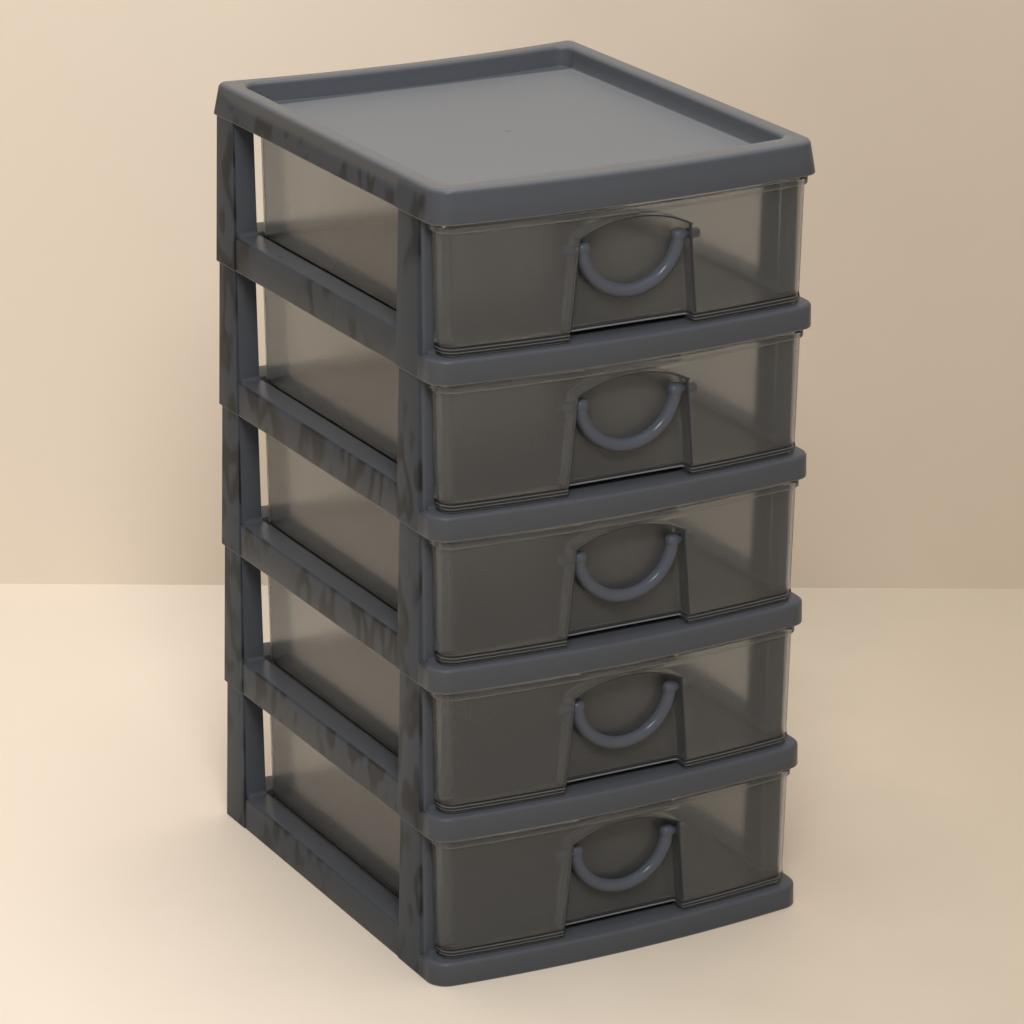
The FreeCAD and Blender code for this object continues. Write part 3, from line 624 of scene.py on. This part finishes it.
def turned(profile, sides=32):
    """(x, radius) stations swept round the pin's axis: y = r cos b, z = r sin b."""
    b = np.linspace(0, 2 * math.pi, sides, endpoint=False)
    rings = [np.column_stack([np.full(sides, x), PIVOT_Y + r * np.cos(b), PIVOT_Z + r * np.sin(b)])
             for x, r in profile]
    return shell(rings)


def bail_parts():
    """The bar, and at each end a knob with radius 4.8 sin(a)^0.7 along its axis, a collar up to the
    pocket's side, a pin through it and a tapered snap head behind it."""
    a = np.linspace(0.12, math.pi - 0.75, 15)
    knob = [(SPAN - KNOB * math.cos(t), KNOB * math.sin(t) ** 0.7) for t in a]
    side = pocket_half_width(PIVOT_Z, 0.0)
    collar = [(SPAN + KNOB, 3.1), (side - 0.6, 3.1), (side - 0.4, 2.9)]
    pin = [(side - 1.5, 2.5), (side + 3.4, 2.5)]
    head = side + DRAWER_WALL + 0.7
    snap = [(head, 3.4), (head + 0.3, 3.7), (head + 5.7, 3.1), (head + 6.5, 2.4)]
    half = [turned(knob + collar), turned(pin), turned(snap)]
    return [bar_shell()] + half + [mirror(part) for part in half]


# %% [markdown]
# Materials are written as sums and products of sockets. This small class lets Python's own signs
# add the Math nodes, so a formula in the code reads like the formula it stands for.

# %% Sockets that can be added and multiplied
class Flow:
    """An output socket that takes part in arithmetic on numbers."""

    def __init__(self, paint, socket):
        self.paint, self.socket = paint, socket

    def _math(self, operation, *values):
        return self.paint.node("ShaderNodeMath", {"operation": operation}, *values)

    def __add__(self, other):
        return self._math("ADD", self, other)

    def __sub__(self, other):
        return self._math("SUBTRACT", self, other)

    def __rsub__(self, other):
        return self._math("SUBTRACT", other, self)

    def __mul__(self, other):
        return self._math("MULTIPLY", self, other)

    def __truediv__(self, other):
        return self._math("DIVIDE", self, other)

    def __pow__(self, other):
        return self._math("POWER", self, other)

    def __mod__(self, other):
        return self._math("MODULO", self, other)

    def __abs__(self):
        return self._math("ABSOLUTE", self)

    def sine(self):
        return self._math("SINE", self)

    def clamp(self):
        return self.paint.node("ShaderNodeClamp", {}, self)

    def step(self, low, high):
        """0 below low, 1 above high, smooth between."""
        smooth = {"interpolation_type": "SMOOTHSTEP"}
        return self.paint.node("ShaderNodeMapRange", smooth, self, low, high, 0.0, 1.0)

    __radd__, __rmul__ = __add__, __mul__


class Paint:
    """A material whose nodes are made by one method."""

    def __init__(self, name):
        self.material = bpy.data.materials.new(name)
        self.material.use_nodes = True
        self.tree = self.material.node_tree
        self.tree.nodes.clear()
        self.out = self.tree.nodes.new("ShaderNodeOutputMaterial")
        coordinates = self.tree.nodes.new("ShaderNodeTexCoord")
        self.place = coordinates.outputs["Object"]

    def connect(self, value, target):
        if isinstance(value, Flow):
            self.tree.links.new(value.socket, target)
        elif isinstance(value, bpy.types.NodeSocket):
            self.tree.links.new(value, target)
        else:
            target.default_value = value

    def node(self, kind, settings=None, *values, out=0, **named):
        """Makes a node, sets its settings, then gives its inputs values or links, in order or by name."""
        made = self.tree.nodes.new(kind)
        for key, value in (settings or {}).items():
            setattr(made, key, value)
        for index, value in enumerate(values):
            self.connect(value, made.inputs[index])
        for key, value in named.items():
            self.connect(value, made.inputs[key.replace("_", " ")])
        return Flow(self, made.outputs[out])

    def blend(self, share, first, second):
        """A colour between two: first where share is 0, second where it is 1."""
        made = self.tree.nodes.new("ShaderNodeMix")
        made.data_type = "RGBA"
        for value, index in ((share, 0), (first, 6), (second, 7)):
            self.connect(value, made.inputs[index])
        return Flow(self, made.outputs[2])

    def millimetres(self):
        """The piece's own x, y and z, in millimetres."""
        split = self.node("ShaderNodeSeparateXYZ", {}, self.place)
        return [Flow(self, output) / MM for output in split.socket.node.outputs]

    def scaled(self, vector):
        """The piece's own coordinates, stretched by a vector."""
        return self.node("ShaderNodeMapping", {}, self.place, Scale=vector)

    def surface(self, shader):
        self.tree.links.new(shader.socket, self.out.inputs["Surface"])
        return self.material


print("the material tools are ready")

# %% [markdown]
# The tiers and the lid are dark slate polypropylene with a soft gloss. Where the melt met itself in the
# mould it left dark wavy streaks, clearest on the sides. They are a sine of a stretched noise, which
# turns its slow hills into bands. The side faces are painted darker than the rest, a painted shade. The
# tray's floor and its rim are painted paler, a painted reflection of the pale room on these upward
# faces, and the sharp lower edge of each tier has a pale painted highlight line.

# %% Slate plastic of the tiers and the lid
LID_FOOT = TIERS * PITCH
TRAY_SIDE, TRAY_FRONT = HALF - LID_FLARE - RIM, FRONT + LID_FLARE + RIM_FRONT
STREAK_STRETCH, STREAK_BANDS = (24.0, 42.0, 20.0), 20.0
EDGE_HIGHLIGHT_HEIGHT = 0.7


def slate(name, base, side, streak, painted_light_color, gloss):
    """Dark gloss plastic. The sides' outer faces, where |x| is over 138 mm, take the darker side colour,
    a painted shade, with dark streaks where sin(20 n) is high for a noise n. Painted light makes three
    places paler: the tray's floor and its rim, a painted reflection of the pale room on these upward
    faces, and the lowest 0.7 mm of each tier, a painted highlight line, where z modulo the pitch is small."""
    paint = Paint(name)
    flow = paint.node("ShaderNodeTexNoise", {}, paint.scaled(STREAK_STRETCH), Scale=1.0, Detail=1.5)
    fine = paint.node("ShaderNodeTexNoise", {}, paint.place, Scale=900.0, Detail=2.0)
    broad = paint.node("ShaderNodeTexNoise", {}, paint.place, Scale=11.0, Detail=1.5)
    x, y, z = paint.millimetres()
    across = abs(x)
    # the sides' outer faces: a darker side colour as painted shade, with the real streaks
    on_side = across.step(HALF - 2.8, HALF - 1.9) * y.step(-148.0, -138.0)
    patches = (flow * STREAK_BANDS).sine().step(-0.4, 1.0) * broad.step(0.36, 0.5)
    # tray floor and rim top: painted reflection of the pale room on these upward faces
    on_tray = z.step(LID_FOOT + LID - TRAY - 2.0, LID_FOOT + LID - TRAY - 0.5)
    on_tray = on_tray * (1.0 - across.step(TRAY_SIDE - 3.5, TRAY_SIDE - 0.5))
    on_tray = on_tray * y.step(TRAY_FRONT - 0.5, TRAY_FRONT + 2.5) * (1.0 - y.step(136.0, 139.0))
    on_rim = z.step(LID_FOOT + LID - 2.5, LID_FOOT + LID - 0.5)
    # painted highlight line along the lowest 0.7 mm of each tier
    edge_highlight = 1.0 - ((z + 0.2) % PITCH).step(EDGE_HIGHLIGHT_HEIGHT, EDGE_HIGHLIGHT_HEIGHT + 0.3)
    color = paint.blend(on_side, base, paint.blend(patches * 0.85, side, streak))
    # blend towards the painted light colour on the tray, its rim and each tier's lower edge
    color = paint.blend((on_tray + on_rim * 0.4 + edge_highlight * 0.9).clamp(), color, painted_light_color)
    rough = gloss + fine * 0.06 + broad * 0.08 + on_side * 0.06 + on_tray * 0.16
    bump = paint.node("ShaderNodeBump", {}, Strength=0.05, Distance=0.0003, Height=fine + broad * 0.5)
    shader = paint.node("ShaderNodeBsdfPrincipled", {}, Base_Color=color, Roughness=rough, Normal=bump,
                        IOR=1.24)
    return paint.surface(shader)


# painted shade colour of the side faces, the real streaks' colour, and the painted light colour
SIDE_SHADE_STREAK_AND_LIGHT = (0.036, 0.046, 0.060, 1), (0.006, 0.008, 0.011, 1), (0.146, 0.154, 0.166, 1)
SLATE = slate("slate_plastic", (0.072, 0.078, 0.090, 1), *SIDE_SHADE_STREAK_AND_LIGHT, 0.23)
SLATE_BAIL = slate("slate_bail_plastic", (0.078, 0.087, 0.107, 1), *SIDE_SHADE_STREAK_AND_LIGHT, 0.06)
print("the slate plastic has", len(SLATE.node_tree.nodes), "nodes")

# %% [markdown]
# The drawers are the same plastic left nearly clear and lightly frosted, so what stands behind
# them shows as soft bands. The wall is a real two-sided skin, and the shader says how much light
# each skin lets through, how far it scatters, and what colour is left. Along the rim band, the
# pocket's lip and the foot's ribs a solid pale shader is mixed in as painted highlight, and along
# the foot's grooves and the pocket's edge a solid dark one as painted shade.

# %% Smoky plastic of the drawers
RIBS_PER_MM = 2.9
ARCH_RADIUS = (POCKET_SPRING ** 2 + ARCH ** 2) / (2 * ARCH)


def smoke(name, color, dark_foot_and_shade_color, painted_highlight_color):
    """Smoky see-through plastic. In the drawer's own height, from the foot of its tier: the foot is
    darker, its grooves take a painted shade and its ribs a painted highlight, a painted shadow line runs
    just outside the pocket's edge, where sqrt(x^2 + (z - centre)^2) - R or |x| - half width is small,
    and the rim band's lower edge and the pocket's lower lip take painted highlight lines."""
    paint = Paint(name)
    fine = paint.node("ShaderNodeTexNoise", {}, paint.place, Scale=1200.0, Detail=2.0)
    broad = paint.node("ShaderNodeTexNoise", {}, paint.scaled((7.0, 7.0, 3.0)), Scale=1.0, Detail=2.0)
    x, y, z = paint.millimetres()
    across, high = abs(x), z % PITCH
    up = high - FOOT
    beside = (across.step(POCKET_FOOT - 1.0, POCKET_FOOT) + y.step(-150.0, -149.0)).clamp()
    foot = (1.0 - up.step(7.2, 7.6)) * beside
    ribs = (up * RIBS_PER_MM).sine()
    # painted shade in the grooves; the ribs' crests take a painted highlight
    grooves = (1.0 - ribs.step(-0.6, 0.0)) * foot
    # painted shadow line just outside the pocket's edge
    rise = high - (SPRING + ARCH - ARCH_RADIUS)
    past_arch = (across * across + rise * rise) ** 0.5 - ARCH_RADIUS
    past_side = across - POCKET_FOOT + up * ((POCKET_FOOT - POCKET_SPRING) / (SPRING - FOOT))
    arched = high.step(SPRING - 0.5, SPRING)
    past = past_arch * arched + past_side * (1.0 - arched)
    edge = past.step(-0.5, -0.1) * (1.0 - past.step(1.0, 1.7)) * (1.0 - y.step(-161.0, -160.5))
    # painted highlight lines: the rim band's lower edge and the pocket's lower lip
    band = high.step(TOP - 4.3, TOP - 4.1) * (1.0 - high.step(TOP - 3.5, TOP - 3.2))
    lip = up.step(3.5, 3.7) * (1.0 - up.step(4.6, 4.9)) * (1.0 - beside)
    tint = paint.blend(broad.step(0.35, 0.7), color, tuple(part * 0.95 for part in color))
    # the foot is darker, and the grooves and the pocket's edge take a painted shade
    tint = paint.blend((foot * 0.35 + grooves * 0.5 + edge * 0.85).clamp(), tint, dark_foot_and_shade_color)
    # share of the solid shader: painted highlight lines and painted shade lines
    painted_lines = band * 0.35 + lip * 0.9 + ribs.step(0.55, 0.9) * foot * 0.45 + grooves * 0.35 + edge * 0.95
    # pale for painted highlight, dark for painted shade in the grooves and along the pocket's edge
    shade = paint.blend((edge + grooves).clamp(), painted_highlight_color, dark_foot_and_shade_color)
    rough = 0.14 + fine * 0.03 + broad * 0.03
    bump = paint.node("ShaderNodeBump", {}, Strength=0.05, Distance=0.0003, Height=fine)
    clear = paint.node("ShaderNodeBsdfPrincipled", {}, Base_Color=tint, Roughness=rough, Normal=bump,
                       IOR=1.3, Transmission_Weight=0.94)
    solid = paint.node("ShaderNodeBsdfPrincipled", {}, Base_Color=shade, Roughness=0.3, IOR=1.3)
    return paint.surface(paint.node("ShaderNodeMixShader", {}, painted_lines.clamp(), clear, solid))


# clear tint, a dark colour for the darker foot and painted shade, a pale colour for painted highlight
SMOKE = smoke("smoky_plastic", (0.615, 0.63, 0.64, 1), (0.03, 0.032, 0.04, 1), (0.26, 0.26, 0.25, 1))
print("the smoky plastic has", len(SMOKE.node_tree.nodes), "nodes")

# %% [markdown]
# Every tier, drawer and bail is the same moulding, so its shells are worked out once and lifted to
# each level. Each piece replaces its CAD node and rides on the body that carries that node.

# %% Make every piece
tier, drawer, bail = tier_parts(), [drawer_shell()], bail_parts()
for level in range(TIERS):
    number, height = str(level + 1), level * PITCH
    piece("frame_tier_" + number, [lift(part, height) for part in tier], "frame",
          "tier_" + number, SLATE)
    piece("clear_drawer_" + number, [lift(part, height) for part in drawer], "drawer_" + number + "_body",
          "drawer_" + number, SMOKE)
    piece("bail_" + number, [lift(part, height) for part in bail], "handle_" + number + "_body",
          "handle_" + number, SLATE_BAIL)
piece("tray_lid", [lift(part, TIERS * PITCH) for part in lid_parts()], "frame", "lid", SLATE)

# %% [markdown]
# The stage is a pale warm floor and a wall behind it, both plain, and both darker to the right, a
# painted shade for the tower's shadow and the falloff of light. The tower is lit by a key lamp from
# the upper left, a wider lamp above it, and a pale world.

# %% Stage and lights
def stage_sheet(name, corners, near, far):
    """A flat sheet through four corners, the near colour on the left and the far one on the right, which
    is darker, a painted shade, with a faint mottle and a rough plaster grain. It is clear from its back,
    so views from behind see the object, and solid from its front, so nothing changes for light or the
    main camera."""
    mesh = bpy.data.meshes.new(name)
    mesh.from_pydata(corners, [], [(0, 1, 2, 3)])
    made = bpy.data.objects.new(name, mesh)
    bpy.context.scene.collection.objects.link(made)
    paint = Paint(name)
    along = paint.node("ShaderNodeVectorMath", {"operation": "DOT_PRODUCT"}, paint.place, (*right, 0.0), out=1)
    mottle = paint.node("ShaderNodeTexNoise", {}, paint.place, Scale=7.0, Detail=6.0)
    # painted shade: darker towards the right
    tint = paint.blend((along + mottle * 0.25 - 0.125).step(-0.35, 0.45), near, far)
    bump = paint.node("ShaderNodeBump", {}, Strength=0.25, Distance=0.002, Height=mottle)
    shader = paint.node("ShaderNodeBsdfPrincipled", {}, Base_Color=tint, Roughness=0.7, Normal=bump)
    backfacing = paint.node("ShaderNodeNewGeometry", out=6)
    clear = paint.node("ShaderNodeBsdfTransparent")
    mesh.materials.append(paint.surface(paint.node("ShaderNodeMixShader", {}, backfacing, shader, clear)))
    return made


def lamp(name, place, target, size, power, color):
    """A round area lamp at a place, turned so that its -z axis points at the target."""
    light = bpy.data.lights.new(name, "AREA")
    light.shape, light.size, light.energy, light.color = "DISK", size, power, color
    made = bpy.data.objects.new(name, light)
    bpy.context.scene.collection.objects.link(made)
    place, target = np.array(place), np.array(target)
    aim = target - place
    made.location = place
    made.rotation_euler = (math.atan2(math.hypot(aim[0], aim[1]), -aim[2]), 0, math.atan2(-aim[0], aim[1]))
    return made


YAW = math.radians(28.6)
ahead = np.array([math.sin(YAW), math.cos(YAW)])
right = np.array([math.cos(YAW), -math.sin(YAW)])
WALL_AWAY, FLOOR_NEAR, STAGE_HALF, STAGE_TALL = 0.543, -6.0, 6.0, 5.0
low_left, low_right = ahead * WALL_AWAY - right * STAGE_HALF, ahead * WALL_AWAY + right * STAGE_HALF
near_left, near_right = ahead * FLOOR_NEAR - right * STAGE_HALF, ahead * FLOOR_NEAR + right * STAGE_HALF
# right-hand colours are darker: painted shade for the tower's shadow and the falloff of light
stage_sheet("floor", [(*near_left, 0), (*near_right, 0), (*low_right, 0), (*low_left, 0)],
            (0.80, 0.70, 0.59, 1), (0.53, 0.45, 0.35, 1))
stage_sheet("wall", [(*low_left, 0), (*low_right, 0), (*low_right, STAGE_TALL), (*low_left, STAGE_TALL)],
            (0.80, 0.70, 0.58, 1), (0.60, 0.505, 0.40, 1))
MIDDLE = (0.0, 0.0, 0.26)
lamp("key", (-0.95, -1.9, 2.3), MIDDLE, 0.9, 46.0, (1.0, 0.985, 0.965))
lamp("above", (0.0, -0.1, 2.4), MIDDLE, 1.4, 26.0, (1.0, 1.0, 1.0))
world = bpy.data.worlds.new("room")
world.use_nodes = True
world.node_tree.nodes["Background"].inputs[0].default_value = (1.0, 0.99, 0.975, 1)
world.node_tree.nodes["Background"].inputs[1].default_value = 0.36
bpy.context.scene.world = world

# %% [markdown]
# The camera stands to the front left and a little above, with a long lens, because the photograph's
# verticals hardly converge. The focal length is in pixels of a picture 1024 wide.

# %% Camera
FOCAL, PICTURE_WIDTH, SENSOR_WIDTH = 4169.0, 1024, 36.0
camera = bpy.data.cameras.new("camera")
camera.sensor_fit, camera.sensor_width = "HORIZONTAL", SENSOR_WIDTH
camera.lens = FOCAL / PICTURE_WIDTH * SENSOR_WIDTH
camera.clip_end = 50.0
eye = bpy.data.objects.new("camera", camera)
bpy.context.scene.collection.objects.link(eye)
eye.location = (-1.2768, -2.3335, 1.1976)
eye.rotation_euler = [math.radians(angle) for angle in (70.52, -0.3, -28.61)]
bpy.context.scene.camera = eye
bpy.context.scene.view_settings.view_transform = "Standard"
print("camera", tuple(round(v, 3) for v in eye.location), "lens", round(camera.lens, 1))
